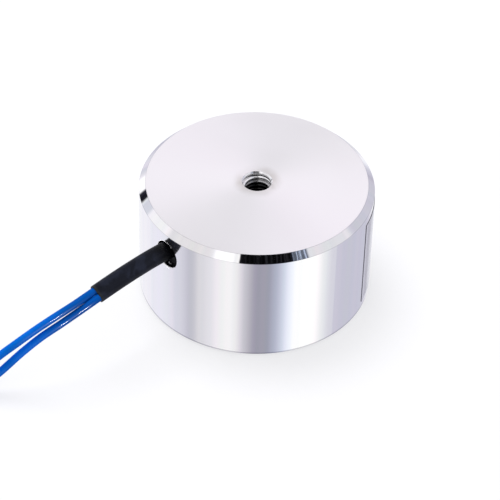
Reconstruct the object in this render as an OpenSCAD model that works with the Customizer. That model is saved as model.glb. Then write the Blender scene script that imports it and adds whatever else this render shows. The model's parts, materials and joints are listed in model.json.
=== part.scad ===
// Round holding electromagnet: a turned steel pot with a tapped mounting hole,
// a wound coil potted into its face, and two insulated leads that leave
// through the side in a shrink sleeve.
// Origin: centre of the holding face, +Z towards the mounting face.
// The leads leave towards -Y.

/* [Steel body] */
// Diameter of the body
body_d = 50; // [46:1:60]
// Height from the holding face to the mounting face
body_h = 27; // [26.5:0.5:34]
// Thickness of the outer shell round the coil
shell_wall = 4; // [3:0.5:5]
// Thickness of the back above the coil chamber
back_t = 5; // [4:0.5:5.5]
// Diameter of the centre pole
pole_d = 24; // [20:1:24]
// Bevel on the edge of the mounting face
top_chamfer = 1.4; // [0.6:0.2:2]
// Bevel on the edge of the holding face
foot_chamfer = 0.4; // [0.2:0.1:0.8]

/* [Mounting hole] */
// Major diameter of the thread
thread_d = 6; // [4:1:8]
// Pitch of the thread
thread_pitch = 1; // [0.7:0.05:1.25]
// Length of full thread
thread_depth = 10; // [6:1:12]
// Plain drilled depth below the thread
drill_extra = 2; // [1:0.5:4]
// Bevel at the mouth of the thread
mouth_chamfer = 0.3; // [0.2:0.1:0.6]

/* [Lead exit] */
// Diameter of the hole that the leads leave through
exit_d = 6.2; // [5.6:0.2:7]
// Depth of the hole's centre below the mounting face
exit_drop = 6.6; // [6.2:0.1:6.8]
// Bevel round the hole's outer edge
exit_chamfer = 0.3; // [0.2:0.1:1]
// Depth of the drilled hole from the outside
exit_depth = 7; // [6.5:0.5:8]
// How far the resin seal in the hole stands back from the outside
seal_recess = 1; // [0.8:0.1:1.4]
// Thickness of the seal round the sleeve
seal_t = 2; // [1.2:0.1:2.2]

/* [Coil] */
// Depth of the resin ring from its face
potting_t = 2.9; // [2:0.1:3.4]
// How far the resin stands back from the holding face
potting_recess = 0.3; // [0.1:0.1:0.6]
// Thickness of the bobbin's two flanges
flange_t = 1.2; // [0.8:0.1:1.4]
// Thickness of the bobbin's hub
hub_t = 0.9; // [0.7:0.1:1.2]
// Room round the outside of the wound coil
coil_room = 2.45; // [1.6:0.05:3.2]
// Height from the lead exit's centre down to the bobbin's upper flange
joint_room = 2.8; // [2.4:0.1:3.4]
// Pitch of the rows of turns that show on the winding's outside
row_pitch = 0.6; // [0.4:0.1:1]
// Thickness of the tape over the winding
tape_t = 0.2; // [0.1:0.05:0.4]
// Diameter of the enamelled winding wire
wire_d = 0.4; // [0.3:0.05:0.5]

/* [Leads] */
// Outside diameter of each insulated lead
lead_d = 1.6; // [1.4:0.1:1.7]
// Wall of the shrink sleeve over both leads
sleeve_wall = 0.3; // [0.2:0.05:0.4]
// Angle that the pair of leads is rolled about its own line
pair_roll = 35; // [0:5:45]
// Diameter of the tinned strands at each bare end
strand_d = 0.9; // [0.6:0.1:1.1]
// Length of the tinned strands at each bare end
strand_l = 5; // [4:0.5:8]
// Diameter of each soldered joint inside
joint_d = 1.3; // [1:0.1:1.5]
// Length of each soldered joint inside
joint_l = 4.5; // [3:0.5:5]
// Wall of the sleeve over each soldered joint
joint_sleeve_wall = 0.25; // [0.15:0.05:0.4]

/* [Stored coil of lead] */
// Diameter at the middle of the turns
store_mid_d = 17.6; // [16:0.2:19]
// Turns that lie side by side
store_turns = 4; // [3:1:5]
// Thickness of the tie that holds the turns
tie_t = 0.35; // [0.2:0.05:0.5]
// Width of the tie
tie_w = 2.6; // [2:0.1:4]

/* [Label] */
// Length of the label round the wall
label_w = 30; // [20:1:34]
// Thickness of the label
label_t = 0.1; // [0.05:0.05:0.2]
// Direction of the label's near edge, counted from +X
label_start = 25.5; // [10:0.5:40]
// Bare wall left below the label
label_low_gap = 1.9; // [1:0.1:2.5]
// Bare wall left between the label and the bevel above it
label_high_gap = 2.1; // [1:0.1:4]

/* [Hidden] */
$fn = 96;

steel = [0.80, 0.80, 0.82];
lead_blue = [0.04, 0.38, 0.80];
sleeve_black = [0.12, 0.12, 0.14];
resin_black = [0.15, 0.15, 0.15];
copper = [0.72, 0.40, 0.22];
tin = [0.78, 0.78, 0.76];

// A cut runs this far past the surface that it opens
over = 1;
// Loose fit of the bobbin round the pole and inside the shell
bobbin_fit = 0.25;
// Room left between two pieces that slide over each other
slip = 0.1;
// Room between two leads that lie side by side
lead_gap = 0.05;

// Broken inner edges of the holding face, less deep than the resin stands back
face_break = potting_recess * 2 / 3;

// Height of the lead exit's centre above the holding face
exit_z = body_h - exit_drop;

// Heights in the coil chamber, from the holding face up
chamber_r = body_d / 2 - shell_wall;
chamber_top = body_h - back_t;
bobbin_z = potting_recess + potting_t;
winding_z = bobbin_z + flange_t;
space_z = exit_z - joint_room;
upper_flange_z = space_z - flange_t;
winding_h = upper_flange_z - winding_z;

// Radii in the coil chamber
hub_in_r = pole_d / 2 + bobbin_fit;
hub_r = hub_in_r + hub_t;
flange_r = chamber_r - bobbin_fit;
tape_r = chamber_r - coil_room;
winding_r = tape_r - tape_t;
row_d = row_pitch * 1.1;

// Tapping drill of the thread and the angle of its point
tap_drill_d = thread_d - thread_pitch;
drill_point = 118;
drill_tip_h = tap_drill_d / 2 / tan(drill_point / 2);
thread_end_z = body_h - thread_depth;
drill_end_z = thread_end_z - drill_extra;

// Notches in the upper flange for the two ends of the winding
notch_w = 3.5 * wire_d;
finish_notch_depth = flange_r - winding_r + notch_w;
tail_inset = notch_w / 2;
tail_end_z = upper_flange_z + 0.05;

// A place counted from the mouth of the lead exit: across, outwards and up
function from_exit(p) = [p.x, -body_d / 2 - p.y, exit_z + p.z];

// The stored coil lies beside the body, its turns wound down to the bare ends
store_at = from_exit([-23, 48, 0]);
store_pitch = lead_d + lead_gap;
store_width = store_turns * store_pitch;
store_r = store_mid_d / 2 + store_width / 2;
store_in_r = store_mid_d / 2 - store_width / 2;
store_h = 2 * store_pitch;
store_z = tie_t;
function layer_z(layer) = store_z + lead_d / 2 + layer * store_pitch;
strand_r = store_in_r - slip / 2 - strand_d / 2;
strand_angle = strand_l / strand_r * 180 / PI;
strand_start = 229;
tie_angle = 120;
tie_in_x = sqrt(pow(store_in_r, 2) - pow(tie_w / 2, 2)) - slip / 2;
tie_out_x = store_r + slip / 2;

// The two leads side by side, from the chamber to past the end of their sleeve
pair_path = [
    for (p = [
        [-0.4, -4.5, 0.7], [-0.4, 0, 0.7], [-0.4, 4, 0.65],
        [-0.4, 8, 0.4], [-0.4, 12, 0], [-0.4, 15.5, -0.45], [-0.4, 19.5, -1.05]
    ]) from_exit(p)
];
sleeve_end_room = 1.2;
sleeve_path = shortened(pair_path, sleeve_end_room);
pair_offset = (lead_d + lead_gap) / 2 * [-cos(pair_roll), 0, sin(pair_roll)];
sleeve_out_r = lead_d / 2 + lead_gap + sleeve_wall;

// A place in the coil chamber: degrees from the exit's line, share of the way from
// the bobbin's hub to the shell, and height above the upper flange
function in_chamber(p) =
    let (r = hub_r + p.y * (chamber_r - hub_r))
        [r * sin(p.x), -r * cos(p.x), space_z + p.z];

// Each lead from its soldered joint to the pair
inner_a = [
    for (p = [
        [-44.5, 0.325, 2], [-31.5, 0.345, 2], [-19.5, 0.46, 2.2], [-10.2, 0.615, 2.7], [-5, 0.78, 3.4]
    ]) in_chamber(p)
];
inner_b = [
    for (p = [
        [44.5, 0.325, 2], [31.5, 0.345, 2], [19.5, 0.46, 2.1], [9, 0.61, 2.3], [2.7, 0.77, 2.7]
    ]) in_chamber(p)
];

// A lead's fall from the pair to its layer of the stored coil: across, outwards,
// and the share of the drop from the exit's height
function falling(points, layer) =
    [for (p = points) from_exit([p.x, p.y, -p.z * (exit_z - layer_z(layer))])];

free_a = falling([
    [-1.5, 23, 0.09], [-2.5, 27, 0.18], [-4, 31, 0.31], [-5.7, 35, 0.47],
    [-7.4, 38, 0.625], [-8.7, 41, 0.77], [-9.6, 43.8, 0.89], [-10.1, 46.3, 0.965]
], 1);
free_b = falling([
    [-0.6, 22.5, 0.16], [-1.6, 26.5, 0.255], [-3.3, 30.4, 0.39], [-5.1, 34.2, 0.565],
    [-7.1, 38.5, 0.79], [-8.3, 41.3, 0.91], [-9.3, 44, 0.975], [-10.1, 46.3, 0.997]
], 0);

function along_pair(side) = [for (p = pair_path) p + side * pair_offset];
lead_a_path = concat(inner_a, along_pair(1), free_a);
lead_b_path = concat(inner_b, along_pair(-1), free_b);

// How far the thin sleeve over each joint laps over the lead, and runs on over the winding wire
joint_lap = 3;
joint_run = 2;

// The winding's two ends, from each soldered joint down through a notch to the winding.
// Their bends are counted in wire diameters, so that a thicker wire bends as gently
start_tail_path = concat(
    tail_out(inner_a),
    in_wires([-flange_r, 0, space_z], [[5.5, -6.5, 4], [9.5, -1.5, 2.5]]),
    tail_down(-(hub_r + tail_inset), -1)
);
finish_tail_path = concat(
    tail_out(inner_b),
    in_wires([flange_r, 0, space_z], [[-4.5, -8, 4], [-4.5, -3, 2.5]]),
    tail_down(winding_r - tail_inset, 1)
);
function in_wires(from, steps) = [for (p = steps) from + wire_d * p];
function tail_out(inner) =
    [for (d = [0, joint_run, joint_run + 4 * wire_d]) past_end(inner, joint_l + d)];
function tail_down(x, side) = concat(
    in_wires([x, 0, space_z], [[side * 1.75, 0, 1.25], [side * 0.5, 0, -0.5]]),
    [[x, 0, tail_end_z]]
);

label_h = body_h - top_chamfer - label_high_gap - label_low_gap;
label_angle = label_w / (body_d / 2) * 180 / PI;

function unit(v) = v / norm(v);

// The point that lies a distance past the start of a path, in line with its first stretch
function past_end(path, distance) = path[0] + distance * unit(path[0] - path[1]);

// Outline of a lead: eight sides
function lead_outline(d) = [for (a = [0 : 45 : 315]) d / 2 * [cos(a), sin(a)]];

// Outline of a sleeve drawn flat over two leads, rolled with them
function pair_outline(r) = [
    for (end = [0, 180]) for (a = [-90 : 22.5 : 90])
        let (p = [norm(pair_offset) * cos(end) + r * cos(a + end), r * sin(a + end)])
            [p.x * cos(pair_roll) + p.y * sin(pair_roll), p.y * cos(pair_roll) - p.x * sin(pair_roll)]
];

// Direction of a path at one of its points
function heading(path, i) = unit(path[min(i + 1, len(path) - 1)] - path[max(i - 1, 0)]);

// One outline set square to the path at one of its points
function ring_at(path, i, outline) =
    let (t = heading(path, i), side = unit(cross([0, 0, 1], t)), up = cross(t, side))
        [for (p = outline) path[i] + p.x * side + p.y * up];

// A point a distance along the first stretch of a path
function part_way(path, distance) = path[0] + distance * unit(path[1] - path[0]);

function reversed(path) = [for (i = [len(path) - 1 : -1 : 0]) path[i]];

// A path cut short by the same distance at both ends
function shortened(path, by) =
    concat([part_way(path, by)], [for (i = [1 : len(path) - 2]) path[i]], [part_way(reversed(path), by)]);

// A path made longer at both ends
function stretched(path, by) =
    let (n = len(path) - 1)
        concat([path[0] + by * unit(path[0] - path[1])], path, [path[n] + by * unit(path[n] - path[n - 1])]);

// An outline carried along a path, as one closed solid
module sweep(path, outline) {
    m = len(outline);
    last = len(path) - 1;
    points = [for (i = [0 : last]) each ring_at(path, i, outline)];
    sides = [for (i = [0 : last - 1], j = [0 : m - 1])
        let (a = i * m + j, b = i * m + (j + 1) % m)
            each [[a, a + m, b + m], [a, b + m, b]]];
    start_cap = [[for (j = [0 : m - 1]) j]];
    end_cap = [[for (j = [m - 1 : -1 : 0]) last * m + j]];
    polyhedron(points, concat(start_cap, sides, end_cap), convexity = 6);
}

// Children set at a point with their Z axis along a direction
module aimed(at, v) {
    translate(at) rotate([0, acos(v.z / norm(v)), atan2(v.y, v.x)]) children();
}

// Steel body, turned from one bar: back, shell and centre pole
module housing() {
    color(steel)
    difference() {
        rotate_extrude()
            polygon([
                [0, 0], [pole_d / 2 - face_break, 0], [pole_d / 2, face_break], [pole_d / 2, chamber_top],
                [chamber_r, chamber_top], [chamber_r, face_break], [chamber_r + face_break, 0],
                [body_d / 2 - foot_chamfer, 0], [body_d / 2, foot_chamfer],
                [body_d / 2, body_h - top_chamfer], [body_d / 2 - top_chamfer, body_h], [0, body_h]
            ]);
        mounting_hole();
        exit_hole();
    }
}

// Tapped blind hole: mouth bevel, thread at its major diameter, tapping drill and drill point
module mounting_hole() {
    rotate_extrude()
        polygon([
            [0, drill_end_z - drill_tip_h], [tap_drill_d / 2, drill_end_z], [tap_drill_d / 2, thread_end_z],
            [thread_d / 2, thread_end_z], [thread_d / 2, body_h - mouth_chamfer],
            [thread_d / 2 + mouth_chamfer + over, body_h + over], [0, body_h + over]
        ]);
}

// Radial hole for the leads with a bevelled outer edge
module exit_hole() {
    translate([0, -body_d / 2, exit_z]) rotate([-90, 0, 0])
        rotate_extrude()
            polygon([
                [0, -over], [exit_d / 2 + exit_chamfer + over, -over], [exit_d / 2, exit_chamfer],
                [exit_d / 2, exit_depth], [0, exit_depth]
            ]);
}

// Moulded bobbin: a hub that runs up to the back, and two flanges
module coil_bobbin() {
    color("ivory")
    difference() {
        rotate_extrude()
            polygon([
                [hub_in_r, bobbin_z], [flange_r, bobbin_z], [flange_r, winding_z], [hub_r, winding_z],
                [hub_r, upper_flange_z], [flange_r, upper_flange_z], [flange_r, space_z], [hub_r, space_z],
                [hub_r, chamber_top], [hub_in_r, chamber_top]
            ]);
        // Slot for the inner end of the winding, from the hub to the rim
        translate([-flange_r - over, -notch_w / 2, upper_flange_z - over / 2])
            cube([flange_r + over - hub_r - slip, notch_w, flange_t + over]);
        // Short notch for the outer end of the winding
        translate([flange_r - finish_notch_depth, -notch_w / 2, upper_flange_z - over / 2])
            cube([finish_notch_depth + over, notch_w, flange_t + over]);
    }
}

// Copper winding, its outside ribbed by the rows of turns
module coil_winding() {
    rows = floor((winding_h - row_d) / row_pitch) + 1;
    first = winding_z + (winding_h - (rows - 1) * row_pitch) / 2;
    color(copper)
    rotate_extrude() {
        translate([hub_r, winding_z]) square([winding_r - row_d / 2 - hub_r, winding_h]);
        for (i = [0 : rows - 1])
            translate([winding_r - row_d / 2, first + i * row_pitch]) circle(d = row_d, $fn = 32);
    }
}

// Tape wrapped round the winding
module winding_tape() {
    color("gold")
    translate([0, 0, winding_z])
        difference() {
            cylinder(r = tape_r, h = winding_h);
            translate([0, 0, -over]) cylinder(r = winding_r, h = winding_h + 2 * over);
        }
}

// Cast resin that closes the coil chamber at the holding face
module potting_resin() {
    color(resin_black)
    translate([0, 0, potting_recess])
        difference() {
            cylinder(r = chamber_r, h = potting_t);
            translate([0, 0, -over]) cylinder(d = pole_d, h = potting_t + 2 * over);
        }
}

// Inner end of the winding, led up to the first lead
module coil_start_tail() {
    color(copper) sweep(start_tail_path, lead_outline(wire_d));
}

// Outer end of the winding, led up to the second lead
module coil_finish_tail() {
    color(copper) sweep(finish_tail_path, lead_outline(wire_d));
}

// Soldered joint between the stripped end of a lead and the winding wire
module solder_joint(inner) {
    color(tin)
    aimed(inner[0], inner[0] - inner[1])
        cylinder(d = joint_d, h = joint_l);
}

// Thin sleeve over a soldered joint and the end of its lead
module joint_sleeve(inner) {
    bore_r = max(lead_d, joint_d) / 2 + slip;
    length = joint_lap + joint_l + joint_run;
    color("darkslategray")
    aimed(past_end(inner, -joint_lap), inner[0] - inner[1])
        difference() {
            cylinder(r = bore_r + joint_sleeve_wall, h = length);
            translate([0, 0, -over]) cylinder(r = bore_r, h = length + 2 * over);
        }
}

// Cast resin in the lead exit, that holds the sleeve
module exit_seal() {
    color(resin_black)
    difference() {
        translate([0, seal_recess - body_d / 2, exit_z]) rotate([-90, 0, 0])
            cylinder(d = exit_d, h = seal_t);
        sweep(stretched(sleeve_path, over), pair_outline(sleeve_out_r + lead_gap));
    }
}

// Shrink sleeve over both leads where they leave the body
module lead_sleeve() {
    color(sleeve_black)
    difference() {
        sweep(sleeve_path, pair_outline(sleeve_out_r));
        sweep(stretched(sleeve_path, over), pair_outline(lead_d / 2 + lead_gap));
    }
}

// Insulated lead, from its soldered joint to the stored coil
module lead(path) {
    color(lead_blue) sweep(path, lead_outline(lead_d));
}

// Outer shape of the stored length of both leads, wound in two layers
module stored_lead_coil() {
    color(lead_blue)
    translate([store_at.x, store_at.y, store_z])
        rotate_extrude()
            translate([store_in_r, 0]) {
                translate([store_pitch, store_pitch] / 2)
                    square([store_width - store_pitch, store_h - store_pitch]);
                for (i = [0 : store_turns - 1], layer = [0, 1])
                    translate([i + 0.5, layer + 0.5] * store_pitch) circle(d = store_pitch, $fn = 32);
            }
}

// Tinned strands at the end of a lead, lying inside the stored coil
module lead_strands(layer) {
    color(tin)
    translate([store_at.x, store_at.y, layer_z(layer)]) rotate([0, 0, strand_start])
        rotate_extrude(angle = strand_angle)
            translate([strand_r, 0]) circle(d = strand_d, $fn = 24);
}

// Band round the turns of the stored coil
module coil_tie() {
    color(sleeve_black)
    translate([store_at.x, store_at.y, store_z]) rotate([0, 0, tie_angle])
        translate([0, tie_w / 2, 0]) rotate([90, 0, 0])
            difference() {
                translate([tie_in_x - tie_t, -tie_t])
                    cube([tie_out_x - tie_in_x + 2 * tie_t, store_h + slip + 2 * tie_t, tie_w]);
                translate([tie_in_x, 0, -over])
                    cube([tie_out_x - tie_in_x, store_h + slip, tie_w + 2 * over]);
            }
}

// Plain self-adhesive film on the wall
module blank_label() {
    color("whitesmoke")
    translate([0, 0, label_low_gap]) rotate([0, 0, label_start])
        rotate_extrude(angle = label_angle)
            translate([body_d / 2, 0]) square([label_t, label_h]);
}

housing();
coil_bobbin();
coil_winding();
winding_tape();
potting_resin();
coil_start_tail();
coil_finish_tail();
solder_joint(inner_a);  // solder_joint_a
solder_joint(inner_b);  // solder_joint_b
joint_sleeve(inner_a);  // joint_sleeve_a
joint_sleeve(inner_b);  // joint_sleeve_b
exit_seal();
lead_sleeve();
lead(lead_a_path);  // lead_a
lead(lead_b_path);  // lead_b
stored_lead_coil();
lead_strands(1);  // lead_a_strands
lead_strands(0);  // lead_b_strands
coil_tie();
blank_label();
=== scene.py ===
# %% [markdown]
# # A holding electromagnet
# A round holding electromagnet is a steel pot with a coil of copper wire inside. Current through the
# coil turns the flat lower face into a magnet, and a screw in the threaded hole on top holds the pot to
# a machine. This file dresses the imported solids: it keeps those whose shape is already right and gives
# them a finish, and it models what a solid can't show, such as the thread, the shrunk sleeve and the
# wound leads.

# %% Load the solids
import json
import math

import bmesh
import bpy
from mathutils import Matrix, Vector

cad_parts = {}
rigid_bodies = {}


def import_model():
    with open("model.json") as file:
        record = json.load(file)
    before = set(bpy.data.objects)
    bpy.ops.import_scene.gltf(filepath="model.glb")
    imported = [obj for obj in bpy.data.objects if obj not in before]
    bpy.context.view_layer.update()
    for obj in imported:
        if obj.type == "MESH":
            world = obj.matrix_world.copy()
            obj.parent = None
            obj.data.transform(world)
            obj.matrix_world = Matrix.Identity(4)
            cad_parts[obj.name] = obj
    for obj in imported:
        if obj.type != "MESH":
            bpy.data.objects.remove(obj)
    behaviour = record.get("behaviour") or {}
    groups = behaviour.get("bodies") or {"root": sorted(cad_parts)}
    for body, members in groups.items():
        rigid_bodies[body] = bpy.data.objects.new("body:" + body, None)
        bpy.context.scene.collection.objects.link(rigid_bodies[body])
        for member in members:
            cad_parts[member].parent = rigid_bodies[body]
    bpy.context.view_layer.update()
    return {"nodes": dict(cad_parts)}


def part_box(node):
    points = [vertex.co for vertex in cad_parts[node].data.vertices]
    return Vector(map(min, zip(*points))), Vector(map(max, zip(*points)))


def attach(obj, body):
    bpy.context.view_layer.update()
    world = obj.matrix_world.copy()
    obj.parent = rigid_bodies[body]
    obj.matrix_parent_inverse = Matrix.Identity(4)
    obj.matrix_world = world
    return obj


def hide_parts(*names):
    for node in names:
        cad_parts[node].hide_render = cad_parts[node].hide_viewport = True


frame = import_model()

MM = 0.001
BODY = "root"
UP = Vector((0, 0, 1))
nodes = frame["nodes"]
print("solids:", len(nodes))

# %% [markdown]
# ## The camera
# The view was worked out from the three rims of the body that the photograph shows: its top face, the
# outer edge of the bevel, and its foot. A long lens far away gives the same gentle perspective.

# %% Camera
camera_data = bpy.data.cameras.new("camera")
camera_data.lens = 167.2
camera_data.sensor_width = 36
camera_data.clip_start = 0.01
camera = bpy.data.objects.new("camera", camera_data)
bpy.context.scene.collection.objects.link(camera)
right = Vector((0.65931, 0.75157, 0.02136))
up = Vector((-0.50707, 0.42349, 0.75069))
back = Vector((0.55515, -0.50577, 0.66031))
turn = Matrix((right, up, back)).transposed()
camera.matrix_world = Matrix.Translation((0.27902, -0.25567, 0.34027)) @ turn.to_4x4()
bpy.context.scene.camera = camera
CAMERA_AZIMUTH = math.degrees(math.atan2(camera.location.y, camera.location.x))
print("camera stands at", round(CAMERA_AZIMUTH, 1), "degrees")

# %% [markdown]
# ## The routes of the two leads
# Each lead starts at its soldered joint inside, joins the other one in the sleeve, falls in a free
# curve and ends in a small stored coil. The points are the ones that the solids follow. A smooth line
# through them keeps the leads free of kinks, because real wire bends gently: each point gets the mean
# direction of its two neighbouring stretches, and a cubic joins it to the next.

# %% Smooth line through points
def smooth_route(points, step):
    points = [Vector(p) for p in points]
    spans = [(b - a).length for a, b in zip(points, points[1:])]
    chords = [(b - a) / s for a, b, s in zip(points, points[1:], spans)]
    slopes = [chords[0]]
    for i in range(1, len(points) - 1):
        share = spans[i - 1] / (spans[i - 1] + spans[i])
        slopes.append(chords[i - 1] * (1 - share) + chords[i] * share)
    slopes.append(chords[-1])
    line = []
    for i, span in enumerate(spans):
        count = max(1, round(span / step))
        for k in range(count):
            t = k / count
            a = points[i] * (2 * t**3 - 3 * t**2 + 1) + points[i + 1] * (3 * t**2 - 2 * t**3)
            b = slopes[i] * (t**3 - 2 * t**2 + t) + slopes[i + 1] * (t**3 - t**2)
            line.append(a + b * span)
    return line + [points[-1]]


def length_of(line):
    return sum((b - a).length for a, b in zip(line, line[1:]))


# %% Sizes that the routes use
LEAD_D = 1.6 * MM
SIDE_BY_SIDE = 1.65 * MM
PAIR_ROLL = math.radians(35)
WALL_Y, EXIT_Z = -25 * MM, 20.4 * MM
HUB_R, CHAMBER_R, FLANGE_TOP_Z = 13.15 * MM, 21 * MM, 17.6 * MM
LAYER_Z = {"a": 2.8 * MM, "b": 1.15 * MM}


def from_exit(across, outwards, above):
    return Vector((across, WALL_Y - outwards, EXIT_Z + above))


def in_chamber(turned, share, height):
    a, r = math.radians(turned), HUB_R + share * (CHAMBER_R - HUB_R)
    return Vector((r * math.sin(a), -r * math.cos(a), FLANGE_TOP_Z + height))


# %% The stretch that both leads share
pair_points = [
    from_exit(-0.0004, -0.0045, 0.0007),
    from_exit(-0.0004, 0, 0.0007),
    from_exit(-0.0004, 0.004, 0.00065),
    from_exit(-0.0004, 0.008, 0.0004),
    from_exit(-0.0004, 0.012, 0),
    from_exit(-0.0004, 0.0155, -0.00045),
    from_exit(-0.0004, 0.0195, -0.00105),
]
pair_offset = SIDE_BY_SIDE / 2 * Vector((-math.cos(PAIR_ROLL), 0, math.sin(PAIR_ROLL)))
print("shared stretch:", round((pair_points[0] - pair_points[-1]).length / MM, 1), "mm")

# %% Inside the body: degrees turned from the exit, share of the way to the shell, height
inner = {
    "a": [(-44.5, 0.325, 0.002), (-31.5, 0.345, 0.002), (-19.5, 0.46, 0.0022),
          (-10.2, 0.615, 0.0027), (-5, 0.78, 0.0034)],
    "b": [(44.5, 0.325, 0.002), (31.5, 0.345, 0.002), (19.5, 0.46, 0.0021),
          (9, 0.61, 0.0023), (2.7, 0.77, 0.0027)],
}
print("points inside the body:", sum(len(points) for points in inner.values()))

# %% The free fall: across, outwards, and the share of the drop
free = {
    "a": [(-0.0015, 0.023, 0.09), (-0.0025, 0.027, 0.18), (-0.004, 0.031, 0.31),
          (-0.0057, 0.035, 0.47), (-0.0074, 0.038, 0.625), (-0.0087, 0.041, 0.77),
          (-0.0096, 0.0438, 0.89), (-0.0101, 0.0463, 0.965)],
    "b": [(-0.0006, 0.0225, 0.16), (-0.0016, 0.0265, 0.255), (-0.0033, 0.0304, 0.39),
          (-0.0051, 0.0342, 0.565), (-0.0071, 0.0385, 0.79), (-0.0083, 0.0413, 0.91),
          (-0.0093, 0.044, 0.975), (-0.0101, 0.0463, 0.997)],
}
print("points in the free fall:", sum(len(points) for points in free.values()))

# %% [markdown]
# ## The stored coil
# Most of each lead is wound into one flat coil on the table, as a new magnet comes out of its bag. Both
# leads run round together, one on top of the other, and each turn lies one lead further in. The tinned
# ends stay free in the middle.

# %% Turns of the stored coil
STORE_AT = Vector((-23 * MM, WALL_Y - 48 * MM, 0))
OUTER_TURN_R = 11.275 * MM
ENTRY_ANGLE, TURNS, STEPS_A_TURN = -20, 3.15, 72
END_DRAW_IN, END_SHARE = 0.35 * MM, 0.08


def round_store(a, r, layer):
    return STORE_AT + Vector((r * math.cos(a), r * math.sin(a), LAYER_Z[layer]))


def on_coil(turns, layer, inwards=0.0):
    a = math.radians(ENTRY_ANGLE - 360 * turns)
    return round_store(a, OUTER_TURN_R - SIDE_BY_SIDE * turns - inwards, layer)


def coil_points(layer):
    count = round(TURNS * STEPS_A_TURN)
    turned = [TURNS * i / count for i in range(count + 1)]
    draw = [max(0, (t - TURNS + END_SHARE) / END_SHARE) ** 2 * END_DRAW_IN for t in turned]
    return [on_coil(t, layer, d) for t, d in zip(turned, draw)]


print("stored coil:", TURNS, "turns, 2 layers")

# %% Whole routes
STEP = 0.8 * MM
routes = {}
for side, sign in (("a", 1), ("b", -1)):
    points = [in_chamber(*p) for p in inner[side]]
    points += [p + sign * pair_offset for p in pair_points]
    points += [from_exit(x, out, -share * (EXIT_Z - LAYER_Z[side])) for x, out, share in free[side]]
    routes[side] = smooth_route(points + coil_points(side)[::4], STEP)
    print("lead", side, "insulated length", round(length_of(routes[side]) / MM, 1), "mm")

# %% [markdown]
# ## The leads
# A lead is a round tube of vinyl over copper, so a curve with a round bevel is the plainest way to make
# it: the curve is its centre line, and half its diameter is the bevel's depth. The soft vinyl of one
# lead is pressed against the other, so each tube is as wide as the distance between their middles, and
# they just touch. The curve is then made a mesh, whose bounding box is the tube's own.

# %% Curve tubes
def tube(name, lines, diameter, rounding):
    data = bpy.data.curves.new(name, "CURVE")
    data.dimensions = "3D"
    data.bevel_depth = diameter / 2
    data.bevel_resolution = rounding
    data.use_fill_caps = True
    for line in lines:
        spline = data.splines.new("POLY")
        spline.points.add(len(line) - 1)
        for point, place in zip(spline.points, line):
            point.co = (*place, 1)
        spline.use_smooth = True
    shape = bpy.data.objects.new(name + "_line", data)
    piece = bpy.data.objects.new(name, bpy.data.meshes.new_from_object(shape))
    bpy.context.scene.collection.objects.link(piece)
    bpy.data.objects.remove(shape)
    return piece


leads = {}
for side in ("a", "b"):
    leads[side] = tube(f"lead_{side}_insulation", [routes[side]], SIDE_BY_SIDE, 8)
    print(leads[side].name, len(routes[side]), "points")

# %% [markdown]
# ## The tinned ends
# Seven thin strands, one in the middle and six twisted round it, were dipped in solder. Each strand
# follows the end of its lead inwards, turning round the middle one.

# %% Twisted strands
LAY = 9 * MM


def frames_along(line):
    found = []
    for i, place in enumerate(line):
        ahead = (line[min(i + 1, len(line) - 1)] - line[max(i - 1, 0)]).normalized()
        across = UP.cross(ahead).normalized()
        found.append((place, ahead, across, ahead.cross(across)))
    return found


def twisted(line, radius, turned):
    out, gone = [], 0.0
    for i, (place, _, across, above) in enumerate(frames_along(line)):
        gone += (place - line[i - 1]).length if i else 0
        a = turned + 2 * math.pi * gone / LAY
        out.append(place + radius * (math.cos(a) * across + math.sin(a) * above))
    return out


# %% Strands at both ends
STRAND_D, STRAND_L = 0.3 * MM, 5 * MM
END_ARC_R, END_CLOSE_IN, END_STEPS = 5.4 * MM, 0.55 * MM, 12
strands = {}
for side in ("a", "b"):
    end_r = (routes[side][-1] - STORE_AT - Vector((0, 0, LAYER_Z[side]))).length
    start_a = math.radians(ENTRY_ANGLE - 360 * TURNS)
    sweep = STRAND_L / END_ARC_R
    middle = []
    for k in range(-2, END_STEPS + 1):
        a = start_a - sweep * k / END_STEPS
        r = end_r - END_CLOSE_IN * max(k, 0) / END_STEPS
        middle.append(round_store(a, r, side))
    lines = [middle] + [twisted(middle, STRAND_D, math.pi / 3 * k) for k in range(6)]
    strands[side] = tube(f"lead_{side}_tinned_end", lines, STRAND_D, 2)
    print(strands[side].name, "7 strands")

# %% [markdown]
# ## The shrink sleeve
# Heat shrinks the sleeve until it grips both leads, so its outline is two round lobes with a shallow
# waist between them. One ring is shaped from a circle, then extruded step by step along the leads'
# shared line, and Solidify gives it the wall.

# %% Middle line of the sleeve
SLEEVE_STEP, SLEEVE_END_ROOM = 0.35 * MM, 1.2 * MM
sleeve_line = smooth_route(pair_points, SLEEVE_STEP)
gone = [length_of(sleeve_line[: i + 1]) for i in range(len(sleeve_line))]
cut_at = gone[-1] - SLEEVE_END_ROOM
sleeve_line = [p for p, g in zip(sleeve_line, gone) if SLEEVE_END_ROOM <= g <= cut_at]
print("sleeve:", round(length_of(sleeve_line) / MM, 1), "mm long")

# %% One ring of the sleeve
SLEEVE_WALL, SLEEVE_ROOM = 0.3 * MM, 0.05 * MM
SLEEVE_R = LEAD_D / 2 + SLEEVE_ROOM + SLEEVE_WALL
SLEEVE_SIDES, LOBE_STEEPNESS = 56, 3.2
WAIST_DEPTH, WAIST_HALF = 0.075, 0.9 * MM


def sleeve_ring(bm):
    made = bmesh.ops.create_circle(bm, segments=SLEEVE_SIDES, radius=SLEEVE_R, cap_ends=False)["verts"]
    for v in made:
        side = v.co.x / SLEEVE_R
        v.co.x += math.copysign(SIDE_BY_SIDE / 2 * min(1, abs(side) * LOBE_STEEPNESS), side)
        v.co.y *= 1 - WAIST_DEPTH * max(0, 1 - (v.co.x / WAIST_HALF) ** 2)
    return made


print("one ring:", SLEEVE_SIDES, "sides,", round(2 * SLEEVE_R / MM, 2), "mm high")

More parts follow.
